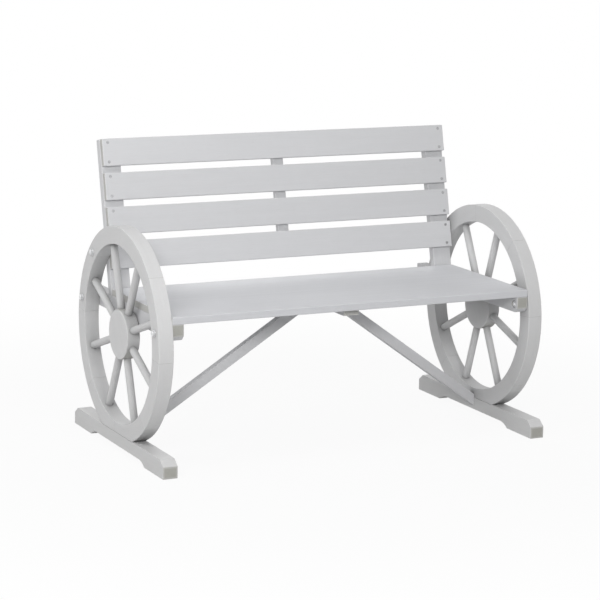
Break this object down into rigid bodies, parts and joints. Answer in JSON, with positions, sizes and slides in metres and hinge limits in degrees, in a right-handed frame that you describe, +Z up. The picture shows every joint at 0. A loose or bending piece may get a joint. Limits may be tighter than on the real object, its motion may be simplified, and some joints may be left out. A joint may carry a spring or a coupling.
{
  "type": "wagon wheel bench",
  "caption": "Wooden garden bench with slatted leaning back, flat seat and spoked wagon wheels as its ends, standing on bevelled feet.",
  "frame": {"origin": "on the ground, below the middle of the bench, in line with the wheels' centres", "axes": "+X to the right as seen from the front, +Y to the back, +Z up"},
  "size_m": [1.0678, 0.5906, 0.7493],
  "materials": {
    "seat_paint": "light grey paint on wood, satin",
    "slat_paint": "light grey paint on wood, satin",
    "frame_paint": "light grey paint on wood, satin",
    "rim_paint": "light grey paint on wood, satin",
    "spoke_paint": "light grey paint on wood, satin",
    "foot_paint": "light grey paint on wood, satin",
    "bolt_steel": "bright zinc plate",
    "screw_steel": "dull grey steel"
  },
  "bodies": {
    "root": {"back_batten": "frame_paint", "back_batten_screws": "screw_steel", "back_slat_1": "slat_paint", "back_slat_2": "slat_paint", "back_slat_3": "slat_paint", "back_slat_4": "slat_paint", "brace_screws": "screw_steel", "foot_screws": "screw_steel", "left_brace": "frame_paint", "left_felloe_1": "rim_paint", "left_felloe_2": "rim_paint", "left_felloe_3": "rim_paint", "left_felloe_4": "rim_paint", "left_felloe_5": "rim_paint", "left_felloe_6": "rim_paint", "left_felloe_7": "rim_paint", "left_felloe_8": "rim_paint", "left_foot": "foot_paint", "left_hub": "spoke_paint", "left_post": "frame_paint", "left_rail": "frame_paint", "left_spoke_1": "spoke_paint", "left_spoke_2": "spoke_paint", "left_spoke_3": "spoke_paint", "left_spoke_4": "spoke_paint", "left_spoke_5": "spoke_paint", "left_spoke_6": "spoke_paint", "left_spoke_7": "spoke_paint", "left_spoke_8": "spoke_paint", "rail_screws": "screw_steel", "right_brace": "frame_paint", "right_felloe_1": "rim_paint", "right_felloe_2": "rim_paint", "right_felloe_3": "rim_paint", "right_felloe_4": "rim_paint", "right_felloe_5": "rim_paint", "right_felloe_6": "rim_paint", "right_felloe_7": "rim_paint", "right_felloe_8": "rim_paint", "right_foot": "foot_paint", "right_hub": "spoke_paint", "right_post": "frame_paint", "right_rail": "frame_paint", "right_spoke_1": "spoke_paint", "right_spoke_2": "spoke_paint", "right_spoke_3": "spoke_paint", "right_spoke_4": "spoke_paint", "right_spoke_5": "spoke_paint", "right_spoke_6": "spoke_paint", "right_spoke_7": "spoke_paint", "right_spoke_8": "spoke_paint", "seat_batten": "frame_paint", "seat_batten_screws": "screw_steel", "seat_panel": "seat_paint", "slat_screws": "screw_steel", "wheel_bolt_nuts": "bolt_steel", "wheel_bolt_washers": "bolt_steel", "wheel_bolts": "bolt_steel"}
  },
  "joints": []
}
